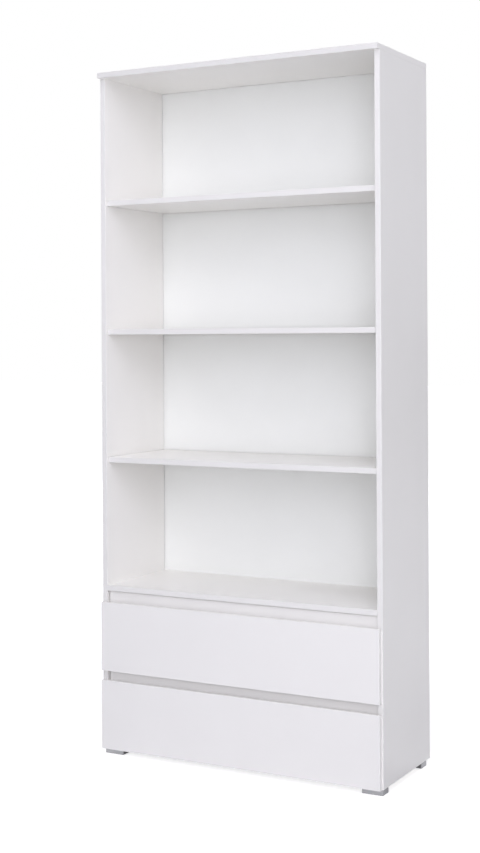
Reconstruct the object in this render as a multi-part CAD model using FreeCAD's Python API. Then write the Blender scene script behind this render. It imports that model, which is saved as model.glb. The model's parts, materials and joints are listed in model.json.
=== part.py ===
import FreeCAD, Part
import os

# Tall open bookcase of white laminated board, with two handleless drawers at its foot.
# Millimetres. +X right, +Y back, +Z up. The origin is on the floor, under the middle of the box.

V = FreeCAD.Vector
X, Y, Z = V(1, 0, 0), V(0, 1, 0), V(0, 0, 1)

# ---------------------------------------------------------------- driving dimensions
overall_width = 900.0
overall_height = 2020.0
carcass_depth = 341.0          # side panels, front edge to rear edge
foot_height = 19.0

board = 16.0                   # laminated board of the carcass
front_thickness = 16.0         # drawer fronts; the top panel reaches forward as far
drawer_board = 12.0            # sides and back of the drawer boxes
edge_round = 0.8               # rounding of the banded edges

front_height = 203.0
front_inset = 4.0              # drawer front short of the carcass at each end
finger_gap = 27.5              # between the two drawer fronts
shelf_finger_gap = 31.5        # between the upper front and the fixed shelf
grip_bevel = 10.0              # bevel on the rear top edge of each front

lower_bay = 364.0              # clear height of each of the two bays above the fixed shelf
top_bay = 361.5                # clear height under the top panel
shelf_set_back = 10.0          # loose shelves behind the carcass front
shelf_side_gap = 1.0
shelf_back_gap = 4.0

back_thickness = 3.0
back_inset = 12.5              # rear edge of the carcass to the back panel
back_groove_depth = 7.0
back_groove_play = 2.0         # spare width of the groove, in front of the back panel
back_side_play = 0.5           # back panel short of its groove's floor
back_floor_gap = 2.0           # back panel short of the carcass's lower edge
nail_count = 5                 # along each board that the back is nailed to
nail_margin = 20.0             # end nails from the feet, sideways
nail_radius = 0.9
nail_head_radius = 2.6
nail_head_height = 1.0
nail_point = 2.0

foot_width = 62.0
foot_depth = 40.0
foot_side_inset = 4.0
foot_front_inset = 5.0
foot_rear_inset = 17.0
foot_wall = 2.0
foot_top_wall = 3.0
foot_corner = 1.5
foot_screw_spacing = 30.0
glide_thickness = 4.0
glide_stand_out = 1.0          # glide proud of the foot's lower rim
glide_chamfer = 0.8

pin_radius = 2.5
pin_depth = 9.0                # pin's shank in the side panel
pin_head_radius = 4.0
pin_reach = 9.0                # pin's head, in its notch under the shelf
pin_seat = 1.6                 # flat of the head above the pin's axis
pin_inset = 50.0               # from the loose shelf's front and rear edges
pin_sunk = 0.4                 # head's lowest line above the shelf's underside
notch_play = 0.4               # shelf's notch round the head
hole_play = 0.05               # radial play of pins, bolts and screws in their holes

fitting_inset = 50.0           # cam fittings from the front and rear of a carcass joint
dowel_step = 32.0              # dowel beside each cam fitting
dowel_radius = 4.0
dowel_skin = 5.0               # board left past the dowel in its face hole
dowel_in_end = 19.0
dowel_chamfer = 1.0
depth_play = 0.5               # spare depth of blind holes

cam_radius = 7.5
cam_skin = 3.5                 # board left under the cam
cam_reach = 24.0               # cam's axis from the bolted face
cam_bolt_bore = 4.0            # radii of the bolt's bore, neck and head
cam_bolt_neck = 2.0
cam_bolt_head = 3.3
cam_play = 0.1                 # cam in its seat, all round
cam_skin_play = 0.2
cam_head_play = 0.3            # bolt's head in the cam
cam_recess_width = 1.4
cam_recess_depth = 1.5
cam_recess_margin = 3.0        # cross recess to the cam's edge
cap_thickness = 0.4
cap_rim = 1.2                  # cap wider than its cam, all round
bolt_thread_radius = 2.5
bolt_thread_length = 10.0
bolt_head_length = 3.0
bolt_collar_length = 3.0

screw_radius = 1.6
screw_point = 4.0
screw_skin = 4.0               # board left past a screw's point
screw_head_radius = 3.4
screw_head_depth = 1.9         # of a countersunk head
screw_head_height = 1.6        # of a flat head
screw_crown_radius = 2.4       # of the flat head's top

runner_gap = 13.0              # drawer box to side panel
runner_steel = 1.2
fold_inside = 0.5              # inner radius of the runners' folds
fold_share = 0.8               # outer radius of the folds, as a share of the steel
drawer_rear_space = 25.5       # behind the drawer box, in front of the back panel
box_bottom_offset = 34.0       # drawer side's lower edge above the front's lower edge
grip_depth = 39.0              # drawer side's upper edge below the front's upper edge
rail_running_gap = 2.5         # grip rail under what is above it
rail_set_back = 10.0           # grip rail behind the drawer front
rail_overhang = 10.0           # grip rail past the drawer side
drawer_groove_height = 10.0    # bottom groove above the side's lower edge
drawer_groove_depth = 5.0
drawer_bottom_thickness = 3.0
drawer_bottom_play = 0.4
back_screw_inset = 25.0        # from the lower and upper edge of the drawer's back
back_screw_length = 30.0
drawer_cam_radius = 6.0
drawer_cam_skin = 2.5
drawer_cam_reach = 24.0
drawer_bolt_bore = 3.2
drawer_bolt_neck = 1.6
drawer_bolt_head = 2.6
drawer_dowel_radius = 3.0
drawer_dowel_inset = 25.0      # from the drawer side's lower and upper edge

roller_radius = 8.0
roller_bore_play = 0.05
roller_chamfer = 0.5
running_play = 0.3             # roller to the track it rolls on
axle_radius = 2.5
axle_shoulder = 3.4
rivet_head_radius = 4.0
rivet_head_height = 0.8
rivet_play = 0.2               # roller to rivet head or shoulder, along the axle
rivet_clearance = 0.7          # rivet head to the other runner's web
web_play = 1.0                 # cabinet flanges to the drawer runner's web
screw_head_clearance = 0.8
channel_lift = 2.0             # channel floor above the drawer side's lower edge
flange_headroom = 4.7          # drawer flange under the channel's ceiling
runner_front_inset = 3.0       # cabinet runner behind the carcass front
roller_inset = 12.0            # front roller's axle from the cabinet runner's front end
roller_end_distance = 12.0     # rear roller's axle from the drawer box's rear
flange_roller_gap = 1.5        # flanges stop this far from a roller
runner_overlap = 80.0          # of the runners when the drawer is fully out
stop_height = 3.0
stop_thickness = 1.7
stop_width = 2.4
ear_margin = 3.0               # steel under the front roller's axle
runner_screw_front = 37.0      # first runner screw behind the carcass front
runner_screw_rear = 42.0       # last one from the cabinet runner's rear end

# ---------------------------------------------------------------- planes worked out from them
half_width = overall_width / 2
inner_half = half_width - board
overall_depth = carcass_depth + front_thickness
y_front = -overall_depth / 2
y_carcass = y_front + front_thickness
y_rear = overall_depth / 2
y_back_rear = y_rear - back_inset
y_back_front = y_back_rear - back_thickness
z_carcass = foot_height
z_top_under = overall_height - board

lower_front_bottom = z_carcass
upper_front_bottom = lower_front_bottom + front_height + finger_gap
fixed_shelf_under = upper_front_bottom + front_height + shelf_finger_gap
fixed_shelf_top = fixed_shelf_under + board
box_side_height = front_height - box_bottom_offset - grip_depth
lower_shelf_under = fixed_shelf_top + lower_bay
upper_shelf_under = z_top_under - top_bay - board
middle_shelf_under = lower_shelf_under + board + lower_bay
loose_shelves = {"lower_shelf": lower_shelf_under, "middle_shelf": middle_shelf_under,
                 "upper_shelf": upper_shelf_under}
y_shelf_front = y_carcass + shelf_set_back
y_shelf_rear = y_back_front - shelf_back_gap

box_half = inner_half - runner_gap
box_inner_half = box_half - drawer_board
side_middle = box_half - drawer_board / 2
y_box_rear = y_back_front - drawer_rear_space
y_rail_front = y_carcass + rail_set_back
y_rail_rear = y_rail_front + board

drawer_web_outer = box_half + runner_steel
cabinet_web_inner = inner_half - runner_steel
roller_inner = drawer_web_outer + rivet_clearance + rivet_head_height + rivet_play
roller_outer = cabinet_web_inner - screw_head_height - screw_head_clearance - rivet_head_height - rivet_play
flange_inner = drawer_web_outer + web_play
drawer_flange_outer = cabinet_web_inner - screw_head_height - screw_head_clearance
channel_height = 2 * (roller_radius + running_play)
flange_lift = channel_height - flange_headroom - runner_steel
y_runner_front = y_carcass + runner_front_inset
y_runner_rear = y_box_rear + runner_front_inset
y_front_roller = y_runner_front + roller_inset
y_rear_roller = y_box_rear - roller_end_distance
drawer_travel = y_box_rear - y_carcass - runner_overlap
runner_screw_ends = y_carcass + runner_screw_front, y_runner_rear - runner_screw_rear
runner_screw_places = (runner_screw_ends[0], sum(runner_screw_ends) / 2, runner_screw_ends[1])


class Fitting:
    """Sizes of one kind of cam lock and its bolt."""

    def __init__(self, cam_board, radius, skin, reach, bore, neck, head):
        self.axis_depth = cam_board / 2          # bolt's axis below the cam's open face
        self.cam_radius = radius
        self.cam_depth = cam_board - skin
        self.reach = reach
        self.bore = bore
        self.neck = neck
        self.head = head


carcass_fitting = Fitting(board, cam_radius, cam_skin, cam_reach, cam_bolt_bore, cam_bolt_neck, cam_bolt_head)
drawer_fitting = Fitting(drawer_board, drawer_cam_radius, drawer_cam_skin, drawer_cam_reach,
                         drawer_bolt_bore, drawer_bolt_neck, drawer_bolt_head)


# ---------------------------------------------------------------- small helpers
def box(x0, x1, y0, y1, z0, z1):
    return Part.makeBox(x1 - x0, y1 - y0, z1 - z0, V(x0, y0, z0))


def rod(start, direction, radius, length):
    return Part.makeCylinder(radius, length, start, direction)


def turned(outline):
    """Solid of revolution about the X axis, from the (x, radius) corners of its side."""
    corners = [V(outline[0][0], 0, 0)] + [V(x, radius, 0) for x, radius in outline]
    if outline[-1][1] > 0:
        corners.append(V(outline[-1][0], 0, 0))
    face = Part.Face(Part.makePolygon(corners + [corners[0]]))
    return face.revolve(V(0, 0, 0), X, 360)


def placed(shape, origin, x_axis, z_axis):
    """Copy of a shape with its own X and Z axes turned to the given ones."""
    turn = FreeCAD.Rotation(x_axis, z_axis.cross(x_axis), z_axis, "ZXY")
    copy = shape.copy()
    copy.Placement = FreeCAD.Placement(origin, turn).multiply(shape.Placement)
    return copy


def mirrored(shape):
    """The same piece on the other side."""
    return shape.mirror(V(0, 0, 0), X)


def both_sides(shapes):
    return shapes + [mirrored(shape) for shape in shapes]


def soften(shape, planes):
    """Rounds the long straight edges that lie in any of the planes, given as (axis, value)."""
    def in_plane(edge):
        ends = edge.Vertexes
        return any(all(abs(end.Point.dot(axis) - value) < 1e-6 for end in ends) for axis, value in planes)
    chosen = [edge for edge in shape.Edges if edge.Length > 2 * board and in_plane(edge)]
    return shape.makeFillet(edge_round, chosen)


def folded(sheet, outer, inner):
    """Sheet steel with rounded folds along Y, at the (x, z) places of its outer and inner corners."""
    for radius, corners in ((fold_share * runner_steel, outer), (fold_inside, inner)):
        chosen = [edge for edge in sheet.Edges
                  if any(all(abs(end.X - x) < 1e-6 and abs(end.Z - z) < 1e-6 for end in edge.Vertexes)
                         for x, z in corners)]
        sheet = sheet.makeFillet(radius, chosen)
    return sheet


def set_in(joints, make, *sizes):
    """One copy of a fastener or of its hole in each of the joints."""
    piece = make(*sizes)
    return [placed(piece, *joint) for joint in joints]


def save(name, *shapes):
    """Writes one node; identical fasteners are separate solids of one node."""
    solids = [solid for shape in shapes for solid in shape.Solids]
    whole = solids[0] if len(solids) == 1 else Part.makeCompound(solids)
    whole.exportStep(os.path.join("parts", name + ".step"))


# ---------------------------------------------------------------- fasteners
# A joint is (origin, x_axis, z_axis): the origin is on the bolted face, X points from it into the
# other board, and Z points out of that board's face that the cam is set into.
def cam_bolt(fitting):
    thread = bolt_thread_radius - hole_play
    collar = fitting.bore - 2 * hole_play
    head_start = fitting.reach - bolt_head_length / 2
    head_end = head_start + bolt_head_length
    return turned([(-bolt_thread_length, thread), (0, thread), (0, collar), (bolt_collar_length, collar),
                   (bolt_collar_length, fitting.neck), (head_start, fitting.neck),
                   (head_start, fitting.head), (head_end, fitting.head)])


def cam_lock(fitting):
    """Round cam: a hollow for the bolt's head, a slot for its neck and a cross recess on top."""
    reach = fitting.reach
    top = fitting.axis_depth
    below = top - fitting.cam_depth - 1
    radius = fitting.cam_radius - cam_play
    lock = rod(V(reach, 0, top - fitting.cam_depth), Z, radius, fitting.cam_depth)
    head = fitting.head + cam_head_play
    neck = fitting.neck + cam_head_play
    pocket = bolt_head_length / 2 + cam_head_play
    hollow = box(reach - pocket, reach + pocket, -head, head, below, head)
    slot = box(reach - radius - 1, reach, -neck, neck, below, neck)
    arm = radius - cam_recess_margin
    half = cam_recess_width / 2
    floor = top - cam_recess_depth
    cross = box(reach - arm, reach + arm, -half, half, floor, top + 1)
    cross = cross.fuse(box(reach - half, reach + half, -arm, arm, floor, top + 1))
    return lock.cut([hollow, slot, cross])


def cam_cap(fitting):
    """Thin cap that lies on the board over the cam."""
    top = fitting.axis_depth + cap_thickness
    disc = rod(V(fitting.reach, 0, fitting.axis_depth), Z, fitting.cam_radius + cap_rim, cap_thickness)
    rim = [edge for edge in disc.Edges if edge.Closed and abs(edge.CenterOfMass.z - top) < 1e-6]
    return disc.makeFillet(cap_thickness / 2, rim)


def fitting_holes(fitting):
    """Thread hole in the one board, bolt's bore and cam's seat in the other."""
    thread = rod(V(0, 0, 0), -X, bolt_thread_radius, bolt_thread_length + depth_play)
    bore = rod(V(0, 0, 0), X, fitting.bore, fitting.reach + bolt_head_length / 2 + depth_play)
    depth = fitting.cam_depth + cam_skin_play
    seat = rod(V(fitting.reach, 0, fitting.axis_depth - depth), Z, fitting.cam_radius, depth)
    return Part.makeCompound([thread, bore.fuse(seat)])


def dowel(radius, in_face, in_end):
    inner = radius - dowel_chamfer
    return turned([(-in_face, inner), (-in_face + dowel_chamfer, radius), (in_end - dowel_chamfer, radius),
                   (in_end, inner)])


def dowel_hole(radius, in_face, in_end):
    return rod(V(-in_face - depth_play, 0, 0), X, radius + hole_play, in_face + in_end + 2 * depth_play)


def countersunk_screw(length):
    """Head flush with the surface at x = 0, driven along X."""
    return turned([(0, screw_head_radius), (screw_head_depth, screw_radius),
                   (length - screw_point, screw_radius), (length, 0)])


def countersunk_hole(length):
    wide = screw_head_radius + hole_play
    narrow = screw_radius + hole_play
    return turned([(-1, wide), (0, wide), (screw_head_depth, narrow), (length + depth_play, narrow)])


def flat_head_screw(length):
    """Head standing on the surface at x = 0, driven along X."""
    return turned([(-screw_head_height, screw_crown_radius), (-screw_head_height / 2, screw_head_radius),
                   (0, screw_head_radius), (0, screw_radius), (length - screw_point, screw_radius),
                   (length, 0)])


def pilot_hole(length):
    return rod(V(0, 0, 0), X, screw_radius + hole_play, length + depth_play)


# ---------------------------------------------------------------- carcass joints
def joint_depths():
    """Y places of the fittings and dowels along the joints of the carcass."""
    first = y_carcass + fitting_inset
    last = y_back_front - fitting_inset
    return [first, last], [first + dowel_step, last - dowel_step]


def right_carcass_joints():
    """Joints of the right side panel: (origin, x_axis, z_axis) of the fittings and of the dowels."""
    fittings, dowels = [], []
    at_fittings, at_dowels = joint_depths()
    middle = inner_half + board / 2
    shelf_middle = fixed_shelf_under + board / 2
    bottom_middle = z_carcass + board / 2
    for places, kept in ((at_fittings, fittings), (at_dowels, dowels)):
        for y in places:
            kept.append((V(middle, y, z_top_under), -Z, -X))
            kept.append((V(inner_half, y, shelf_middle), -X, -Z))
            kept.append((V(inner_half, y, bottom_middle), -X, Z))
    return fittings, dowels


def carcass_fittings():
    """Cam bolts, cam locks, caps, dowels and all their holes, for both side panels."""
    fittings, dowels = right_carcass_joints()
    top_joints = [joint for joint in fittings if joint[1] == -Z]
    peg = dowel_radius, board - dowel_skin, dowel_in_end
    bolts = set_in(fittings, cam_bolt, carcass_fitting)
    locks = set_in(fittings, cam_lock, carcass_fitting)
    caps = set_in(top_joints, cam_cap, carcass_fitting)
    pegs = set_in(dowels, dowel, *peg)
    holes = set_in(fittings, fitting_holes, carcass_fitting) + set_in(dowels, dowel_hole, *peg)
    return [both_sides(group) for group in (bolts, locks, caps, pegs, holes)]


def pin_places():
    return y_shelf_front + pin_inset, y_shelf_rear - pin_inset


def pin_notches(under):
    """Round-ended notches in a loose shelf's underside, open at its ends, that hide the pins."""
    half = pin_head_radius + notch_play
    end = inner_half - pin_reach
    top = under + pin_sunk + pin_head_radius + pin_seat
    notches = []
    for y in pin_places():
        notch = box(end, inner_half, y - half, y + half, under - 1, top)
        notches.append(notch.fuse(rod(V(end, y, under - 1), Z, half, top - under + 1)))
    return both_sides(notches)


def shelf_pins():
    """Pins in the notches of the loose shelves, and their holes."""
    pin = rod(V(-pin_depth, 0, 0), X, pin_radius - hole_play, pin_depth)
    head = rod(V(0, 0, 0), X, pin_head_radius, pin_reach)
    above = box(-1, pin_reach + 1, -pin_head_radius - 1, pin_head_radius + 1, pin_seat, pin_head_radius + 1)
    pin = pin.fuse(head.cut(above)).removeSplitter()
    hole = rod(V(-pin_depth - depth_play, 0, 0), X, pin_radius, pin_depth + depth_play)
    seats = [(V(inner_half, y, under + pin_sunk + pin_head_radius), -X, Z)
             for under in loose_shelves.values() for y in pin_places()]
    pins = [placed(pin, *seat) for seat in seats]
    holes = [placed(hole, *seat) for seat in seats]
    return both_sides(pins), both_sides(holes)


# ---------------------------------------------------------------- carcass boards
def back_groove(x0, x1, z0, z1):
    return box(x0, x1, y_back_front - back_groove_play, y_back_rear, z0, z1)


def side_panel(holes):
    panel = box(inner_half, half_width, y_carcass, y_rear, z_carcass, z_top_under)
    panel = soften(panel, [(Y, y_carcass), (Y, y_rear)])
    groove = back_groove(inner_half - 1, inner_half + back_groove_depth, z_carcass - 1, z_top_under + 1)
    return panel.cut([groove] + holes)


def top_panel(holes):
    panel = box(-half_width, half_width, y_front, y_rear, z_top_under, overall_height)
    panel = soften(panel, [(Y, y_front), (Y, y_rear), (X, -half_width), (X, half_width)])
    reach = inner_half + back_groove_depth
    groove = back_groove(-reach, reach, z_top_under - 1, z_top_under + back_groove_depth)
    return panel.cut([groove] + holes)


def crossing_board(under, holes):
    """Board between the side panels, its front edge flush with theirs."""
    panel = box(-inner_half, inner_half, y_carcass, y_back_front, under, under + board)
    return soften(panel, [(Y, y_carcass)]).cut(holes)


def loose_shelf(under):
    half = inner_half - shelf_side_gap
    shelf = box(-half, half, y_shelf_front, y_shelf_rear, under, under + board)
    return soften(shelf, [(Y, y_shelf_front)]).cut(pin_notches(under))


def back_panel():
    reach = inner_half + back_groove_depth - back_side_play
    top = z_top_under + back_groove_depth - back_side_play
    return box(-reach, reach, y_back_front, y_back_rear, z_carcass + back_floor_gap, top)


def back_nails():
    """Nails through the back into the fixed shelf and the bottom panel, and their holes."""
    length = back_thickness + board
    nail = turned([(-nail_head_height, nail_head_radius), (0, nail_head_radius), (0, nail_radius),
                   (length - nail_point, nail_radius), (length, 0)])
    hole = rod(V(-1, 0, 0), X, nail_radius + hole_play, length + 1 + depth_play)
    end = half_width - foot_side_inset - foot_width - nail_margin
    nails, holes = [], []
    for z in (fixed_shelf_under + board / 2, z_carcass + board / 2):
        for index in range(nail_count):
            x = end * (2 * index / (nail_count - 1) - 1)
            place = (V(x, y_back_rear, z), -Y, Z)
            nails.append(placed(nail, *place))
            holes.append(placed(hole, *place))
    return nails, holes


# ---------------------------------------------------------------- feet
def foot_corners():
    """(x, y) of each foot's left front corner, by name."""
    left = -half_width + foot_side_inset
    right = half_width - foot_side_inset - foot_width
    front = y_carcass + foot_front_inset
    rear = y_rear - foot_rear_inset - foot_depth
    return {"front_left": (left, front), "front_right": (right, front),
            "rear_left": (left, rear), "rear_right": (right, rear)}


def foot_screw_places(x, y):
    """Screws of one foot, in the part of it that is under the bottom panel."""
    under_board = max(x, -inner_half), min(x + foot_width, inner_half)
    middle = sum(under_board) / 2
    y_middle = y + foot_depth / 2
    z_under = z_carcass - foot_top_wall
    half = foot_screw_spacing / 2
    return [(V(middle + shift, y_middle, z_under), Z, X) for shift in (-half, half)]


def foot_screw_length():
    return foot_top_wall + board - screw_skin


def foot(x, y):
    """Metal cap open below, with a countersunk screw hole at each side of its top wall."""
    z0 = glide_stand_out
    shell = box(x, x + foot_width, y, y + foot_depth, z0, z_carcass)
    upright = [edge for edge in shell.Edges if abs(edge.tangentAt(edge.FirstParameter).z) > 0.5]
    shell = shell.makeFillet(foot_corner, upright)
    inside = box(x + foot_wall, x + foot_width - foot_wall, y + foot_wall, y + foot_depth - foot_wall,
                 z0 - 1, z_carcass - foot_top_wall)
    return shell.cut([inside] + set_in(foot_screw_places(x, y), countersunk_hole, foot_top_wall))


def glide(x, y):
    pad = box(x + foot_wall, x + foot_width - foot_wall, y + foot_wall, y + foot_depth - foot_wall,
              0, glide_thickness)
    rim = [edge for edge in pad.Edges if all(abs(end.Z) < 1e-6 for end in edge.Vertexes)]
    return pad.makeChamfer(glide_chamfer, rim)


def save_feet():
    """Writes the feet and returns the screw holes that the bottom panel needs."""
    glides, screws, holes = [], [], []
    for name, (x, y) in foot_corners().items():
        save(name + "_foot", foot(x, y))
        glides.append(glide(x, y))
        screws += set_in(foot_screw_places(x, y), countersunk_screw, foot_screw_length())
        holes += set_in(foot_screw_places(x, y), pilot_hole, foot_screw_length())
    save("foot_glides", *glides)
    save("foot_screws", *screws)
    return holes


# ---------------------------------------------------------------- roller runners, right side
def channel_floor(front_bottom):
    return front_bottom + box_bottom_offset + channel_lift


def front_roller_height(front_bottom):
    return channel_floor(front_bottom) + flange_lift - running_play - roller_radius


def rear_roller_height(front_bottom):
    return channel_floor(front_bottom) + running_play + roller_radius


def roller(y, z):
    """Nylon roller, free to turn on its axle."""
    width = roller_outer - roller_inner
    wheel = rod(V(roller_inner, y, z), X, roller_radius, width)
    wheel = wheel.makeChamfer(roller_chamfer, [edge for edge in wheel.Edges if edge.Closed])
    return wheel.cut(rod(V(roller_inner - 1, y, z), X, axle_radius + roller_bore_play, width + 2))


def front_axle(y, z):
    """Stud riveted in the cabinet runner's web, its head on the drawer's side of the roller."""
    head_start = roller_inner - rivet_play - rivet_head_height
    stud = rod(V(head_start, y, z), X, axle_radius, inner_half - head_start)
    head = rod(V(head_start, y, z), X, rivet_head_radius, rivet_head_height)
    shoulder_start = roller_outer + rivet_play
    shoulder = rod(V(shoulder_start, y, z), X, axle_shoulder, cabinet_web_inner - shoulder_start)
    return stud.fuse([head, shoulder])


def rear_axle(y, z):
    """Stud riveted in the drawer runner's web, its head on the cabinet's side of the roller."""
    head_start = roller_outer + rivet_play
    stud = rod(V(box_half, y, z), X, axle_radius, head_start + rivet_head_height - box_half)
    head = rod(V(head_start, y, z), X, rivet_head_radius, rivet_head_height)
    shoulder = rod(V(drawer_web_outer, y, z), X, axle_shoulder, roller_inner - rivet_play - drawer_web_outer)
    return stud.fuse([head, shoulder])


def cabinet_runner(front_bottom):
    """Steel channel on the side panel: web, two flanges, ear for the front roller and travel stop."""
    floor = channel_floor(front_bottom)
    ceiling = floor + channel_height
    axle_z = front_roller_height(front_bottom)
    y0 = y_runner_front
    y1 = y_runner_rear
    y_floor = y_front_roller + roller_radius + flange_roller_gap
    web = box(cabinet_web_inner, inner_half, y0, y1, floor - runner_steel, ceiling + runner_steel)
    ear = box(cabinet_web_inner, inner_half, y0, y_floor, axle_z - axle_shoulder - ear_margin, floor)
    upper = box(flange_inner, inner_half, y0, y1, ceiling, ceiling + runner_steel)
    lower = box(flange_inner, inner_half, y_floor, y1, floor - runner_steel, floor)
    y_stop = y_rear_roller - drawer_travel - roller_radius - running_play
    stop = box(flange_inner, flange_inner + stop_width, y_stop - stop_thickness, y_stop,
               floor - runner_steel, floor + stop_height)
    channel = web.fuse([ear, upper, lower]).removeSplitter()
    channel = folded(channel, [(inner_half, ceiling + runner_steel), (inner_half, floor - runner_steel)],
                     [(cabinet_web_inner, ceiling), (cabinet_web_inner, floor)])
    runner = channel.fuse([stop, front_axle(y_front_roller, axle_z)]).removeSplitter()
    return runner.cut(set_in(cabinet_screw_places(front_bottom), pilot_hole, runner_steel))


def cabinet_screw_places(front_bottom):
    z = channel_floor(front_bottom) + channel_height / 2
    return [(V(cabinet_web_inner, y, z), X, Z) for y in runner_screw_places]


def cabinet_screw_length():
    return runner_steel + board - screw_skin


def drawer_runner(front_bottom):
    """Steel angle round the drawer side's lower edge, with the flange that the front roller carries."""
    side_bottom = front_bottom + box_bottom_offset
    under = side_bottom - runner_steel
    flange_under = channel_floor(front_bottom) + flange_lift
    top = flange_under + runner_steel
    y_flange_end = y_rear_roller - roller_radius - flange_roller_gap
    seat = box(box_inner_half, drawer_web_outer, y_runner_front, y_box_rear, under, side_bottom)
    web = box(box_half, drawer_web_outer, y_runner_front, y_box_rear, under, top)
    flange = box(box_half, drawer_flange_outer, y_runner_front, y_flange_end, flange_under, top)
    axle = rear_axle(y_rear_roller, rear_roller_height(front_bottom))
    angle = folded(seat.fuse([web, flange]).removeSplitter(), [(drawer_web_outer, under), (box_half, top)],
                   [(drawer_web_outer, flange_under)])
    runner = angle.fuse(axle).removeSplitter()
    return runner.cut(set_in(drawer_runner_screws(front_bottom), pilot_hole, runner_steel))


def drawer_runner_screws(front_bottom):
    z = front_bottom + box_bottom_offset - runner_steel
    return [(V(side_middle, y, z), Z, X) for y in runner_screw_places]


def drawer_runner_screw_length():
    """The screws end under the groove of the drawer's bottom."""
    return runner_steel + drawer_groove_height - depth_play


# ---------------------------------------------------------------- drawers
def drawer_joints(front_bottom):
    """Right joints of front and rail: cam fittings and dowels as (origin, x_axis, z_axis)."""
    side_bottom = front_bottom + box_bottom_offset
    side_top = side_bottom + box_side_height
    middle = (side_bottom + side_top) / 2
    rail_bolt_y = y_rail_rear - drawer_fitting.axis_depth
    fittings = [(V(side_middle, y_carcass, middle), Y, -X), (V(side_middle, rail_bolt_y, side_top), Z, Y)]
    dowel_heights = side_bottom + drawer_dowel_inset, side_top - drawer_dowel_inset
    dowels = [(V(side_middle, y_carcass, z), Y, X) for z in dowel_heights]
    return fittings, dowels


def drawer_front(front_bottom, holes):
    """Front with rounded banded edges, a finger bevel behind its top edge and the bottom's groove."""
    half = half_width - front_inset
    top = front_bottom + front_height
    outline = [V(-half, y_front, front_bottom), V(-half, y_carcass, front_bottom),
               V(-half, y_carcass, top - grip_bevel), V(-half, y_carcass - grip_bevel, top),
               V(-half, y_front, top)]
    section = Part.Face(Part.makePolygon(outline + outline[:1]))
    front = soften(section.extrude(V(2 * half, 0, 0)), [(Y, y_front)])
    return front.cut([bottom_groove(front_bottom)] + holes)


def bottom_groove(front_bottom):
    """Groove for the drawer's bottom, open at the rear of the sides."""
    z0 = front_bottom + box_bottom_offset + drawer_groove_height
    reach = box_inner_half + drawer_groove_depth
    return box(-reach, reach, y_carcass - drawer_groove_depth, y_box_rear + 1, z0,
               z0 + drawer_bottom_thickness + drawer_bottom_play)


def drawer_side(front_bottom, holes):
    side_bottom = front_bottom + box_bottom_offset
    side = box(box_inner_half, box_half, y_carcass, y_box_rear, side_bottom, side_bottom + box_side_height)
    return side.cut([bottom_groove(front_bottom)] + holes)


def drawer_back(front_bottom, holes):
    """Back between the sides, standing on the bottom."""
    side_bottom = front_bottom + box_bottom_offset
    z0 = side_bottom + drawer_groove_height + drawer_bottom_thickness
    panel = box(-box_inner_half, box_inner_half, y_box_rear - drawer_board, y_box_rear, z0,
                side_bottom + box_side_height)
    return panel.cut(holes)


def drawer_bottom(front_bottom, holes):
    reach = box_inner_half + drawer_groove_depth - drawer_bottom_play
    z0 = front_bottom + box_bottom_offset + drawer_groove_height
    panel = box(-reach, reach, y_carcass - drawer_groove_depth + drawer_bottom_play, y_box_rear, z0,
                z0 + drawer_bottom_thickness)
    return panel.cut(holes)


def grip_rail(front_bottom, ceiling, holes):
    """Rail on the drawer sides, set back behind the front so that fingers reach behind it."""
    half = box_half + rail_overhang
    z0 = front_bottom + box_bottom_offset + box_side_height
    rail = box(-half, half, y_rail_front, y_rail_rear, z0, ceiling - rail_running_gap)
    rail = soften(rail, [(Y, y_rail_front)])
    return rail.cut(holes)


def drawer_screws(front_bottom):
    """Screws of the back, of the bottom and of both runners, with the holes for the wooden pieces."""
    side_bottom = front_bottom + box_bottom_offset
    back_bottom = side_bottom + drawer_groove_height + drawer_bottom_thickness
    back_top = side_bottom + box_side_height
    y_middle = y_box_rear - drawer_board / 2
    under_bottom = side_bottom + drawer_groove_height
    bottom_length = drawer_bottom_thickness + drawer_board
    runner_length = drawer_runner_screw_length()
    back_heights = back_bottom + back_screw_inset, back_top - back_screw_inset
    at_back = [(V(box_half, y_middle, z), -X, Z) for z in back_heights]
    at_bottom = [(V(x, y_middle, under_bottom), Z, X) for x in (-box_inner_half / 2, 0, box_inner_half / 2)]
    at_runner = drawer_runner_screws(front_bottom)
    screws = both_sides(set_in(at_back, countersunk_screw, back_screw_length))
    screws += set_in(at_bottom, flat_head_screw, bottom_length)
    screws += both_sides(set_in(at_runner, flat_head_screw, runner_length))
    holes = both_sides(set_in(at_back, countersunk_hole, back_screw_length))
    holes += set_in(at_bottom, pilot_hole, bottom_length)
    holes += both_sides(set_in(at_runner, pilot_hole, runner_length))
    return screws, holes


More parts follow.
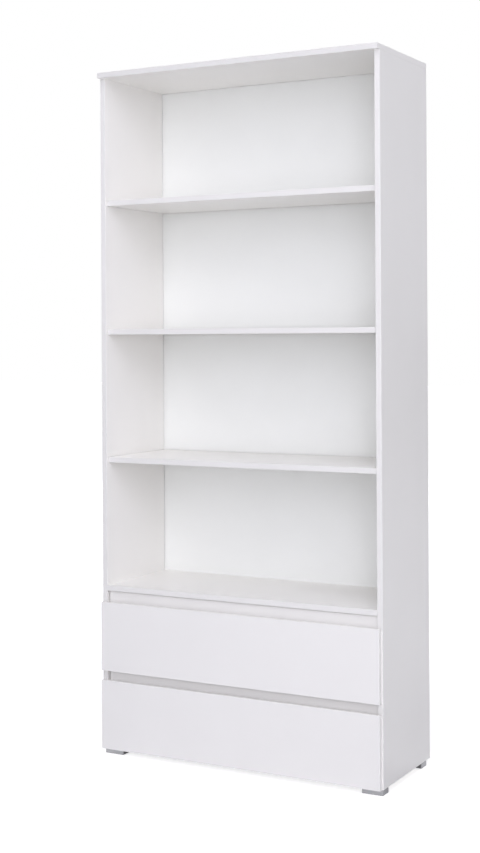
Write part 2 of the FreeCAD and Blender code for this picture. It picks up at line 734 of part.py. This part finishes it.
def save_drawer(name, front_bottom, ceiling):
    """Writes every node of one drawer, its runners and its rear rollers."""
    fittings, dowels = drawer_joints(front_bottom)
    peg = drawer_dowel_radius, front_thickness - dowel_skin, dowel_in_end
    screws, holes = drawer_screws(front_bottom)
    holes += both_sides(set_in(fittings, fitting_holes, drawer_fitting) + set_in(dowels, dowel_hole, *peg))
    side = drawer_side(front_bottom, holes)
    runner = drawer_runner(front_bottom)
    wheel = roller(y_rear_roller, rear_roller_height(front_bottom))
    save(name + "_drawer_front", drawer_front(front_bottom, holes))
    save(name + "_drawer_grip_rail", grip_rail(front_bottom, ceiling, holes))
    save(name + "_drawer_right_side", side)
    save(name + "_drawer_left_side", mirrored(side))
    save(name + "_drawer_back", drawer_back(front_bottom, holes))
    save(name + "_drawer_bottom", drawer_bottom(front_bottom, holes))
    save(name + "_drawer_right_runner", runner)
    save(name + "_drawer_left_runner", mirrored(runner))
    save(name + "_right_rear_roller", wheel)
    save(name + "_left_rear_roller", mirrored(wheel))
    save(name + "_drawer_screws", *screws)
    save(name + "_drawer_cam_bolts", *both_sides(set_in(fittings, cam_bolt, drawer_fitting)))
    save(name + "_drawer_cam_locks", *both_sides(set_in(fittings, cam_lock, drawer_fitting)))
    save(name + "_drawer_dowels", *both_sides(set_in(dowels, dowel, *peg)))


def save_cabinet_runners(name, front_bottom):
    """Writes the cabinet halves of one drawer's runners, with their rollers; returns screws and holes."""
    runner = cabinet_runner(front_bottom)
    wheel = roller(y_front_roller, front_roller_height(front_bottom))
    save(name + "_right_cabinet_runner", runner)
    save(name + "_left_cabinet_runner", mirrored(runner))
    save(name + "_right_front_roller", wheel)
    save(name + "_left_front_roller", mirrored(wheel))
    places = cabinet_screw_places(front_bottom)
    screws = set_in(places, flat_head_screw, cabinet_screw_length())
    holes = set_in(places, pilot_hole, cabinet_screw_length())
    return both_sides(screws), both_sides(holes)


def main():
    os.makedirs("parts", exist_ok=True)
    drawers = {"lower": (lower_front_bottom, upper_front_bottom),
               "upper": (upper_front_bottom, fixed_shelf_under)}
    bolts, locks, caps, pegs, holes = carcass_fittings()
    pins, pin_holes = shelf_pins()
    nails, nail_holes = back_nails()
    runner_screws, runner_holes = [], []
    for name, (front_bottom, ceiling) in drawers.items():
        screws, screw_holes = save_cabinet_runners(name, front_bottom)
        runner_screws += screws
        runner_holes += screw_holes
        save_drawer(name, front_bottom, ceiling)
    foot_holes = save_feet()
    side_holes = holes + pin_holes + runner_holes
    right_side = side_panel(side_holes)
    save("right_side_panel", right_side)
    save("left_side_panel", mirrored(right_side))
    save("top_panel", top_panel(holes))
    save("bottom_panel", crossing_board(z_carcass, holes + nail_holes + foot_holes))
    save("fixed_shelf", crossing_board(fixed_shelf_under, holes + nail_holes))
    for name, under in loose_shelves.items():
        save(name, loose_shelf(under))
    save("back_panel", back_panel().cut(nail_holes))
    save("back_nails", *nails)
    save("shelf_pins", *pins)
    save("cam_bolts", *bolts)
    save("cam_locks", *locks)
    save("cam_caps", *caps)
    save("dowels", *pegs)
    save("cabinet_runner_screws", *runner_screws)


main()
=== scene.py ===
import json
import math

import bpy
from mathutils import Matrix, Vector


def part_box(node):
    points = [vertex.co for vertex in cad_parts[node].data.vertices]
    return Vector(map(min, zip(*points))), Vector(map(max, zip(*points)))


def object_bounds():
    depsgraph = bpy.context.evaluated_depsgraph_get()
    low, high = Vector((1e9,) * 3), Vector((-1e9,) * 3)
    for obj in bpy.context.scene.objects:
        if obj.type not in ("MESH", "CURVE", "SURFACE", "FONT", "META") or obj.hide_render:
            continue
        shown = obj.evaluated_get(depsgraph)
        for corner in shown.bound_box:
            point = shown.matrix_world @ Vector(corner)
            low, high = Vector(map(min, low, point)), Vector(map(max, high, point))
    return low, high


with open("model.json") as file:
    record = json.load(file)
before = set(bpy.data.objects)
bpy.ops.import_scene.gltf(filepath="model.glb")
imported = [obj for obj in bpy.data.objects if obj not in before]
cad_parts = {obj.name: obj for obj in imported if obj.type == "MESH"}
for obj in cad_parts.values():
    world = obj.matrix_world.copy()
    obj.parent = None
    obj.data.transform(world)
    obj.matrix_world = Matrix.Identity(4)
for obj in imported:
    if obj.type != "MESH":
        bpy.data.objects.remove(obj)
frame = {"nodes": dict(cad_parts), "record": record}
cad_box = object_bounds()

# The photograph, in pixels. Its optical centre is above its middle.
PICTURE_HEIGHT = 853
FOCAL_PIXELS = 1449.42
CENTRE_ABOVE_MIDDLE = 89.57

# Its camera, in metres and radians, with the sensor's longer side in millimetres.
SENSOR = 36.0
NEAREST_SEEN = 0.05
FARTHEST_SEEN = 100.0
CAMERA_PLACE = (1.9792, -3.7492, 1.2351)
CAMERA_TURN = 0.50008
CAMERA_ROLL = math.radians(-0.315)

# Soft lamps, aimed at about the object's middle: name, place, width and height in metres, power in watts.
AIM = (0.0, 0.0, 1.0)
LAMP_COLOUR = (0.980, 0.980, 1.072)
LAMPS = (
    ("key", (2.6, -6.1, 4.8), 3.2, 3.2, 149.0),
    ("front_fill", (0.5, -7.9, 2.4), 3.5, 3.5, 91.0),
    ("left_fill", (-4.4, -6.1, 3.1), 2.6, 3.5, 17.0),
    ("low_fill", (2.8, -5.2, 1.4), 2.5, 2.5, 64.0),
    ("right_fill", (4.5, -5.6, 2.0), 2.6, 3.5, 28.0),
    ("high_right", (5.2, -4.2, 5.2), 2.8, 2.8, 68.0),
    ("overhead", (0.8, -2.6, 6.8), 2.8, 2.8, 97.0),
    ("right_side", (7.0, -1.4, 2.4), 3.5, 3.5, 61.0),
    ("left_side", (-7.0, 1.0, 2.4), 3.5, 3.5, 84.0),
    ("rear_left", (-5.2, 6.1, 3.8), 3.5, 3.5, 62.0),
    ("rear", (0.5, 7.9, 3.1), 3.5, 3.5, 78.0),
)

# Strength of the world as a light, and as the camera and reflections see it, where 1 is white.
SURROUNDINGS = 0.03
BACKGROUND = 1.0

# The floor, in metres. It lies a little lower than the glides, so that no two faces coincide.
FLOOR_SIZE = 60.0
FLOOR_DROP = 0.0002
FLOOR_COLOUR = (0.80, 0.80, 0.80)

# The floor glows for the camera and for reflections, but less by the object, so that its shadow shows. The
# glow rises from that of near to that of far between two distances from the middle.
FLOOR_GLOW_NEAR = 0.72
FLOOR_GLOW_FAR = 1.0
FLOOR_NEAR = 0.6
FLOOR_FAR = 2.2

# Reflections get no glow from under the object. Around it theirs rises to FLOOR_GLOSS_GLOW between two
# ellipses that are as oblong as the object, given here by half their widths.
FLOOR_GLOSS_GLOW = 0.6
FLOOR_SHADED = 0.46
FLOOR_CLEAR = 0.68

# One white laminate, in linear colours. Its values for uprights, for boards that face forwards, for level
# boards and for banding differ only so that these lamps give the photograph's tones. They are painted light
# and shade: level boards painted lighter, boards that face forwards and the banding painted darker.
MELAMINE = (0.890, 0.874, 0.842)
MELAMINE_CLOUD = (0.878, 0.862, 0.830)
FRONT_MELAMINE_PAINTED_DARKER = (0.838, 0.824, 0.796)
FRONT_CLOUD_PAINTED_DARKER = (0.826, 0.812, 0.784)
LEVEL_MELAMINE_PAINTED_LIGHTER = (0.925, 0.908, 0.874)
LEVEL_CLOUD_PAINTED_LIGHTER = (0.913, 0.896, 0.862)
# Edge banding painted darker than the board as shade; on the level boards' front and rear edges darker
# still.
BANDING_PAINTED_DARKER = (0.778, 0.765, 0.738)
TOP_BANDING_PAINTED_DARKER = (0.724, 0.711, 0.686)
RUBBED_EDGE = (0.750, 0.740, 0.735)
# A range that went under about 0.27 gave blotches in the denoised render.
LAMINATE_ROUGHNESS = (0.29, 0.34)

# The other colours, linear too.
WHITE = (1.0, 1.0, 1.0)
LACQUER = (0.862, 0.870, 0.840)
LACQUER_CLOUD = (0.846, 0.854, 0.824)
HARDBOARD = (0.235, 0.140, 0.072)
HARDBOARD_FIBRE = (0.115, 0.062, 0.030)
CHIPBOARD = (0.560, 0.420, 0.270)
CHIPBOARD_DARK = (0.300, 0.195, 0.110)
ALUMINIUM = (0.460, 0.460, 0.470)
ALUMINIUM_DULL = (0.350, 0.350, 0.360)
ALUMINIUM_WORN = (0.62, 0.62, 0.63)
BLACK_PLASTIC = (0.020, 0.020, 0.021)
BLACK_PLASTIC_WORN = (0.050, 0.050, 0.050)
POWDER_COAT = (0.700, 0.698, 0.680)
POWDER_COAT_CLOUD = (0.665, 0.660, 0.640)
BARE_STEEL = (0.380, 0.375, 0.365)
NYLON = (0.720, 0.715, 0.680)
NYLON_CLOUD = (0.660, 0.650, 0.600)
CAST_ZINC = (0.440, 0.445, 0.455)
CAST_ZINC_DULL = (0.300, 0.305, 0.315)
PLATED_STEEL = (0.560, 0.560, 0.555)
PLATED_TINT = (0.540, 0.520, 0.440)
WHITE_PLASTIC = (0.888, 0.872, 0.840)
WHITE_PLASTIC_CLOUD = (0.874, 0.858, 0.826)
BEECH = (0.520, 0.330, 0.180)
BEECH_GRAIN = (0.380, 0.215, 0.105)

SIDEWAYS = (1, 0, 0)
BACKWARDS = (0, 1, 0)
FORWARDS = (0, -1, 0)
UP = (0, 0, 1)
DOWN = (0, 0, -1)

# Cosines between which a share goes from 0 to 1: that of a face which looks along a direction, and that of
# an edge, where the bevelled normal turns away from the true one.
FACING = (0.70, 0.80)
TURNED_AWAY = (0.995, 0.90)
BEVEL_SAMPLES = 6

# Most of a noise lies between these.
NOISE_RANGE = (0.3, 0.7)


class Nodes:
    """A node tree, wired up call by call. A value is another node's output, or a constant for the socket."""

    def __init__(self, tree):
        self.tree = tree

    def add(self, kind, **settings):
        node = self.tree.nodes.new(kind)
        for name, value in settings.items():
            setattr(node, name, value)
        return node

    def feed(self, socket, value):
        if isinstance(value, bpy.types.NodeSocket):
            self.tree.links.new(value, socket)
        elif hasattr(socket.default_value, "__len__") and len(socket.default_value) == 4:
            socket.default_value = (*value, 1.0)
        else:
            socket.default_value = value

    def result(self, kind, operation, output, values):
        """The named output of a maths node that is fed with values."""
        node = self.add(kind, operation=operation)
        for socket, value in zip(node.inputs, values):
            self.feed(socket, value)
        return node.outputs[output]

    def times(self, a, b):
        return self.result("ShaderNodeMath", "MULTIPLY", "Value", (a, b))

    def either(self, a, b):
        return self.result("ShaderNodeMath", "MAXIMUM", "Value", (a, b))

    def without_sign(self, a):
        return self.result("ShaderNodeMath", "ABSOLUTE", "Value", (a,))

    def stretched(self, vector, factors):
        return self.result("ShaderNodeVectorMath", "MULTIPLY", "Vector", (vector, factors))

    def length(self, vector):
        return self.result("ShaderNodeVectorMath", "LENGTH", "Value", (vector,))

    def dot(self, a, b):
        return self.result("ShaderNodeVectorMath", "DOT_PRODUCT", "Value", (a, b))

    def spread(self, value, low, high, to_low=0.0, to_high=1.0, shape="LINEAR"):
        """value's stretch from low to high, mapped onto to_low to to_high and held there outside it."""
        node = self.add("ShaderNodeMapRange", interpolation_type=shape)
        for name, number in (("From Min", low), ("From Max", high), ("To Min", to_low), ("To Max", to_high)):
            self.feed(node.inputs[name], number)
        self.feed(node.inputs["Value"], value)
        return node.outputs["Result"]

    def mix(self, share, a, b):
        """Number a where share is 0 and b where it is 1."""
        node = self.add("ShaderNodeMix", data_type="FLOAT")
        self.feed(node.inputs["Factor"], share)
        self.feed(node.inputs[2], a)
        self.feed(node.inputs[3], b)
        return node.outputs[0]

    def blend(self, share, a, b):
        """Colour a where share is 0 and b where it is 1."""
        node = self.add("ShaderNodeMix", data_type="RGBA")
        self.feed(node.inputs["Factor"], share)
        self.feed(node.inputs[6], a)
        self.feed(node.inputs[7], b)
        return node.outputs[2]


class Finish(Nodes):
    """A material in the making: colour, roughness and relief grow into one shader. Lengths are in metres."""

    def __init__(self, name, metallic=0.0):
        self.material = bpy.data.materials.new(name)
        self.material.use_nodes = True
        super().__init__(self.material.node_tree)
        self.shader = self.tree.nodes["Principled BSDF"]
        self.shader.inputs["Metallic"].default_value = metallic
        self.coordinates = self.add("ShaderNodeTexCoord")
        self.relief = None

    def texture(self, kind, size, stretch):
        """A texture node with features about size across, longer along an axis whose stretch is over 1."""
        place = self.add("ShaderNodeMapping")
        self.feed(place.inputs["Vector"], self.coordinates.outputs["Object"])
        self.feed(place.inputs["Scale"], tuple(1.0 / s for s in stretch))
        texture = self.add(kind)
        self.feed(texture.inputs["Vector"], place.outputs["Vector"])
        self.feed(texture.inputs["Scale"], 1.0 / size)
        return texture

    def noise(self, size, detail=2.0, roughness=0.5, stretch=(1.0, 1.0, 1.0)):
        """Cloudy noise between 0 and 1."""
        noise = self.texture("ShaderNodeTexNoise", size, stretch)
        self.feed(noise.inputs["Detail"], detail)
        self.feed(noise.inputs["Roughness"], roughness)
        return noise.outputs["Fac"]

    def cells(self, size, stretch=(1.0, 1.0, 1.0)):
        """A grey of its own for each chip."""
        cells = self.texture("ShaderNodeTexVoronoi", size, stretch)
        grey = self.add("ShaderNodeRGBToBW")
        self.feed(grey.inputs["Color"], cells.outputs["Color"])
        return grey.outputs["Val"]

    def facing(self, direction, both_ways=False):
        """1 on faces that look along direction, in the piece's own frame, and 0 on the others."""
        share = self.dot(self.coordinates.outputs["Normal"], direction)
        if both_ways:
            share = self.without_sign(share)
        return self.spread(share, *FACING)

    def edges(self, reach):
        """1 on the piece's sharp or rounded edges, fading out within reach of them."""
        bevelled = self.add("ShaderNodeBevel", samples=BEVEL_SAMPLES)
        self.feed(bevelled.inputs["Radius"], reach)
        geometry = self.add("ShaderNodeNewGeometry")
        alike = self.dot(bevelled.outputs["Normal"], geometry.outputs["Normal"])
        return self.spread(alike, *TURNED_AWAY)

    def stained(self, colour, stain, pattern, low, high, strength=1.0):
        """colour, turned into stain with that strength where pattern rises from low to high."""
        return self.blend(self.spread(pattern, low, high, 0.0, strength), colour, stain)

    def rubbed(self, colour, worn, reach, strength, patches=None):
        """colour, turned into worn with that strength along the edges, or only in patches of them."""
        share = self.edges(reach)
        if patches is not None:
            share = self.times(share, patches)
        return self.blend(self.times(share, strength), colour, worn)

    def emboss(self, height, depth):
        """Adds height, between 0 and 1, as relief of that depth."""
        bump = self.add("ShaderNodeBump")
        self.feed(bump.inputs["Height"], height)
        self.feed(bump.inputs["Distance"], depth)
        if self.relief is not None:
            self.feed(bump.inputs["Normal"], self.relief)
        self.relief = bump.outputs["Normal"]

    def done(self, colour, roughness):
        self.feed(self.shader.inputs["Base Color"], colour)
        self.feed(self.shader.inputs["Roughness"], roughness)
        self.feed(self.shader.inputs["Normal"], self.relief)
        return self.material


def chipboard(finish):
    """Raw chipboard: pale and dark wood chips pressed flat, as a colour."""
    chips = finish.cells(0.0032, stretch=(1.6, 1.6, 0.8))
    dust = finish.noise(0.0009, detail=3.0)
    colour = finish.stained(CHIPBOARD, CHIPBOARD_DARK, chips, 0.25, 0.85)
    return finish.stained(colour, CHIPBOARD, dust, 0.45, 0.80, strength=0.6)


def melamine(name, across, white=MELAMINE, cloudy=MELAMINE_CLOUD, banding=BANDING_PAINTED_DARKER, ends=None, bare=None):
    """White melamine-faced board, across its thickness, with banded edges. The banding at its left and right
    has the colour ends, if that is given. Edges that look along bare are raw chipboard."""
    finish = Finish(name)
    clouds = finish.noise(0.22)
    pearl = finish.noise(0.0016)
    smudges = finish.noise(0.09, detail=1.0)
    waves = finish.noise(0.012, detail=1.0)
    patches = finish.spread(finish.noise(0.011, detail=3.0, roughness=0.65), 0.42, 0.66)
    colour = finish.stained(white, cloudy, clouds, 0.35, 0.65)
    colour = finish.stained(colour, cloudy, pearl, 0.30, 0.70, strength=0.35)
    if ends is not None:
        banding = finish.blend(finish.facing(SIDEWAYS, both_ways=True), banding, ends)
    colour = finish.blend(finish.facing(across, both_ways=True), banding, colour)
    colour = finish.rubbed(colour, RUBBED_EDGE, reach=0.0014, strength=0.55, patches=patches)
    finish.emboss(pearl, depth=0.00002)
    finish.emboss(waves, depth=0.00001)
    if bare is not None:
        colour = finish.blend(finish.facing(bare), colour, chipboard(finish))
    return finish.done(colour, finish.spread(smudges, 0.25, 0.75, *LAMINATE_ROUGHNESS))


def hardboard(name, white_side):
    """Thin hardboard: lacquered white on one face, brown and fibrous on the other and on its edges."""
    finish = Finish(name)
    clouds = finish.noise(0.18)
    skin = finish.noise(0.0022, detail=3.0, roughness=0.6)
    fibres = finish.noise(0.0030, detail=5.0, roughness=0.75, stretch=(3.0, 1.0, 1.0))
    blots = finish.noise(0.030, detail=3.0, roughness=0.6)
    white = finish.stained(LACQUER, LACQUER_CLOUD, clouds, 0.35, 0.65)
    white = finish.stained(white, LACQUER_CLOUD, skin, 0.35, 0.75, strength=0.30)
    brown = finish.stained(HARDBOARD, HARDBOARD_FIBRE, fibres, 0.40, 0.66)
    brown = finish.stained(brown, HARDBOARD_FIBRE, blots, 0.35, 0.70, strength=0.45)
    lacquered = finish.facing(white_side)
    finish.emboss(skin, depth=0.00005)
    brown_roughness = finish.spread(fibres, *NOISE_RANGE, 0.74, 0.90)
    white_roughness = finish.spread(skin, *NOISE_RANGE, 0.44, 0.54)
    colour = finish.blend(lacquered, brown, white)
    return finish.done(colour, finish.mix(lacquered, brown_roughness, white_roughness))


def brushed_aluminium(name):
    """Aluminium with level brush strokes, dull blots and bright worn edges."""
    finish = Finish(name, metallic=1.0)
    strokes = finish.noise(0.0006, detail=3.0, roughness=0.6, stretch=(40.0, 40.0, 1.0))
    bands = finish.noise(0.0040, detail=1.0, stretch=(30.0, 30.0, 1.0))
    blots = finish.noise(0.010, detail=3.0)
    colour = finish.stained(ALUMINIUM, ALUMINIUM_DULL, bands, 0.40, 0.60)
    colour = finish.stained(colour, ALUMINIUM_DULL, strokes, 0.35, 0.65, strength=0.6)
    colour = finish.stained(colour, ALUMINIUM_DULL, blots, 0.4, 0.7, strength=0.4)
    colour = finish.rubbed(colour, ALUMINIUM_WORN, reach=0.0010, strength=0.8)
    finish.emboss(strokes, depth=0.00003)
    return finish.done(colour, finish.spread(strokes, *NOISE_RANGE, 0.30, 0.46))


def moulded_plastic(name, colour, worn_colour, smooth, rough, grain=0.0007):
    """Moulded plastic with a fine eroded texture, in the worn colour here and there and along its edges."""
    finish = Finish(name)
    texture = finish.noise(grain)
    clouds = finish.noise(0.012)
    shade = finish.stained(colour, worn_colour, clouds, 0.35, 0.70)
    shade = finish.rubbed(shade, worn_colour, reach=0.0006, strength=0.7)
    finish.emboss(texture, depth=0.00005)
    return finish.done(shade, finish.spread(texture, *NOISE_RANGE, smooth, rough))


def powder_coat(name):
    """White powder-coated sheet steel: orange peel, and bare metal where edges have rubbed."""
    finish = Finish(name)
    peel = finish.noise(0.0020, detail=1.0)
    clouds = finish.noise(0.040)
    chips = finish.spread(finish.noise(0.006, detail=3.0, roughness=0.7), 0.52, 0.64)
    colour = finish.stained(POWDER_COAT, POWDER_COAT_CLOUD, clouds, 0.35, 0.70)
    colour = finish.rubbed(colour, BARE_STEEL, reach=0.0007, strength=0.8, patches=chips)
    finish.emboss(peel, depth=0.00006)
    return finish.done(colour, finish.spread(peel, *NOISE_RANGE, 0.30, 0.42))


def metal(name, bright, dull, smooth, rough, grain):
    """Bare or plated metal: bright and dull blots, a grain, and bright rubbed edges."""
    finish = Finish(name, metallic=1.0)
    texture = finish.noise(grain, detail=3.0, roughness=0.6)
    blots = finish.noise(0.004, detail=3.0, roughness=0.6)
    colour = finish.stained(bright, dull, blots, 0.35, 0.68)
    colour = finish.rubbed(colour, bright, reach=0.0004, strength=0.6)
    finish.emboss(texture, depth=0.00004)
    return finish.done(colour, finish.spread(texture, *NOISE_RANGE, smooth, rough))


def beech(name, along):
    """Turned beech with its grain running along one axis, and the darker flecks of beech."""
    finish = Finish(name)
    grain_stretch = tuple(14.0 if a else 1.0 for a in along)
    fleck_stretch = tuple(5.0 if a else 1.0 for a in along)
    grain = finish.noise(0.0009, detail=4.0, roughness=0.6, stretch=grain_stretch)
    flecks = finish.noise(0.0006, detail=1.0, stretch=fleck_stretch)
    colour = finish.stained(BEECH, BEECH_GRAIN, grain, 0.35, 0.70)
    colour = finish.stained(colour, BEECH_GRAIN, flecks, 0.62, 0.70, strength=0.7)
    finish.emboss(grain, depth=0.00006)
    return finish.done(colour, finish.spread(grain, *NOISE_RANGE, 0.52, 0.68))


# Finishes by material slot, except for the slot of the white boards.
FINISHES = {
    "back_board": hardboard("hardboard_white_in_front", FORWARDS),
    "foot_metal": brushed_aluminium("brushed_aluminium"),
    "glide_plastic": moulded_plastic("black_glide_plastic", BLACK_PLASTIC, BLACK_PLASTIC_WORN, 0.50, 0.68),
    "runner_steel": powder_coat("powder_coated_steel"),
    "roller_nylon": moulded_plastic("natural_nylon", NYLON, NYLON_CLOUD, 0.34, 0.46, grain=0.0010),
    "zinc": metal("cast_zinc", CAST_ZINC, CAST_ZINC_DULL, 0.36, 0.52, grain=0.0008),
    "steel": metal("plated_steel", PLATED_STEEL, PLATED_TINT, 0.28, 0.38, grain=0.0005),
    "white_plastic": moulded_plastic("white_cap_plastic", WHITE_PLASTIC, WHITE_PLASTIC_CLOUD, 0.36, 0.48),
    "beech": beech("beech_across", SIDEWAYS),
}

# White boards with all edges banded, by the axis they are thinnest along. Boards that face forwards take the
# white painted darker, with their banding painted lighter; level boards take it painted lighter, with their
# front and rear banding painted darker and their ends in the uprights' white.
BOARDS = (
    melamine("upright_board", SIDEWAYS),
    melamine("facing_board", BACKWARDS, FRONT_MELAMINE_PAINTED_DARKER, FRONT_CLOUD_PAINTED_DARKER, banding=LEVEL_MELAMINE_PAINTED_LIGHTER),
    melamine("level_board", UP, LEVEL_MELAMINE_PAINTED_LIGHTER, LEVEL_CLOUD_PAINTED_LIGHTER, banding=TOP_BANDING_PAINTED_DARKER, ends=MELAMINE),
)

# Pieces with a finish of their own: boards with a raw edge, and drawer bottoms, whose white face looks up.
# Painted light and shade here too: uprights keep the plain white with banding painted darker, and level
# boards take the white painted lighter, with banding painted darker.
BARE_BELOW = melamine("upright_board_bare_below", SIDEWAYS, bare=DOWN)
BARE_BEHIND = melamine("level_board_bare_behind", UP, LEVEL_MELAMINE_PAINTED_LIGHTER, LEVEL_CLOUD_PAINTED_LIGHTER, bare=BACKWARDS)
WHITE_ABOVE = hardboard("hardboard_white_above", UP)
OWN_FINISHES = {
    "left_side_panel": BARE_BELOW,
    "right_side_panel": BARE_BELOW,
    "bottom_panel": BARE_BEHIND,
    "fixed_shelf": BARE_BEHIND,
    "upper_shelf": BARE_BEHIND,
    "middle_shelf": BARE_BEHIND,
    "lower_shelf": BARE_BEHIND,
    "upper_drawer_bottom": WHITE_ABOVE,
    "lower_drawer_bottom": WHITE_ABOVE,
}


def board_finish(name):
    """The finish for a white board's node, from the axis it is thinnest along."""
    low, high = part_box(name)
    sizes = [b - a for a, b in zip(low, high)]
    return BOARDS[sizes.index(min(sizes))]


def dress():
    """Gives every CAD node its own finish, or that of its material slot."""
    for part in frame["record"]["subparts"]:
        name = part["node"]
        node = frame["nodes"][name]
        material = OWN_FINISHES.get(name) or FINISHES.get(part["material_slot"]) or board_finish(name)
        for slot in node.material_slots:
            slot.material = material


def floor_glow(nodes):
    """Strength of the floor's own white, by the distance from the object's middle and by the kind of ray."""
    rays = nodes.add("ShaderNodeLightPath").outputs
    low, high = cad_box
    width_over_depth = (high[0] - low[0]) / (high[1] - low[1])
    place = nodes.add("ShaderNodeTexCoord").outputs["Object"]
    from_footprint = nodes.length(nodes.stretched(place, (1.0, width_over_depth, 1.0)))
    gloss = nodes.spread(from_footprint, FLOOR_SHADED, FLOOR_CLEAR, 0.0, FLOOR_GLOSS_GLOW, "SMOOTHSTEP")
    near = nodes.mix(rays["Is Camera Ray"], gloss, FLOOR_GLOW_NEAR)
    glow = nodes.spread(nodes.length(place), FLOOR_NEAR, FLOOR_FAR, near, FLOOR_GLOW_FAR, "SMOOTHSTEP")
    seen = nodes.either(rays["Is Camera Ray"], rays["Is Glossy Ray"])
    return nodes.times(seen, glow)


def white_floor():
    """A white floor that keeps the object's shadow."""
    bpy.ops.mesh.primitive_plane_add(size=FLOOR_SIZE, location=(0.0, 0.0, -FLOOR_DROP))
    floor = bpy.context.object
    floor.name = "floor"
    material = bpy.data.materials.new("studio_floor")
    material.use_nodes = True
    nodes = Nodes(material.node_tree)
    nodes.tree.nodes.clear()
    paint = nodes.add("ShaderNodeBsdfDiffuse")
    nodes.feed(paint.inputs["Color"], FLOOR_COLOUR)
    glow = nodes.add("ShaderNodeEmission")
    nodes.feed(glow.inputs["Color"], WHITE)
    nodes.feed(glow.inputs["Strength"], floor_glow(nodes))
    both = nodes.add("ShaderNodeAddShader")
    nodes.feed(both.inputs[0], paint.outputs["BSDF"])
    nodes.feed(both.inputs[1], glow.outputs["Emission"])
    output = nodes.add("ShaderNodeOutputMaterial")
    nodes.feed(output.inputs["Surface"], both.outputs["Shader"])
    floor.data.materials.append(material)


def white_surroundings():
    """A world that is white to the camera and to reflections, but gives the object next to no light."""
    world = bpy.data.worlds.new("studio")
    bpy.context.scene.world = world
    world.use_nodes = True
    nodes = Nodes(world.node_tree)
    background = nodes.tree.nodes["Background"]
    rays = nodes.add("ShaderNodeLightPath").outputs
    seen = nodes.either(rays["Is Camera Ray"], rays["Is Glossy Ray"])
    seen = nodes.either(seen, rays["Is Transmission Ray"])
    nodes.feed(background.inputs["Color"], WHITE)
    nodes.feed(background.inputs["Strength"], nodes.spread(seen, 0.0, 1.0, SURROUNDINGS, BACKGROUND))


def softbox(name, place, width, height, power):
    """A soft rectangular studio lamp."""
    lamp = bpy.data.lights.new(name, "AREA")
    lamp.shape = "RECTANGLE"
    lamp.size = width
    lamp.size_y = height
    lamp.energy = power
    lamp.color = LAMP_COLOUR
    box = bpy.data.objects.new(name, lamp)
    box.location = place
    box.rotation_euler = (Vector(AIM) - Vector(place)).to_track_quat("-Z", "Y").to_euler()
    box.visible_camera = False
    bpy.context.scene.collection.objects.link(box)


def camera():
    """The photograph's camera: level but for its roll, and with its optical centre above the middle."""
    data = bpy.data.cameras.new("camera")
    data.sensor_width = SENSOR
    data.lens = FOCAL_PIXELS * SENSOR / PICTURE_HEIGHT
    data.shift_y = -CENTRE_ABOVE_MIDDLE / PICTURE_HEIGHT
    data.clip_start = NEAREST_SEEN
    data.clip_end = FARTHEST_SEEN
    taker = bpy.data.objects.new("camera", data)
    turn = Matrix.Rotation(CAMERA_TURN, 4, "Z")
    level = Matrix.Rotation(math.radians(90.0), 4, "X")
    roll = Matrix.Rotation(CAMERA_ROLL, 4, "Z")
    taker.matrix_world = Matrix.Translation(CAMERA_PLACE) @ turn @ level @ roll
    bpy.context.scene.collection.objects.link(taker)
    bpy.context.scene.camera = taker


dress()
white_floor()
white_surroundings()
for lamp in LAMPS:
    softbox(*lamp)
camera()

bpy.context.scene.view_settings.view_transform = "Standard"
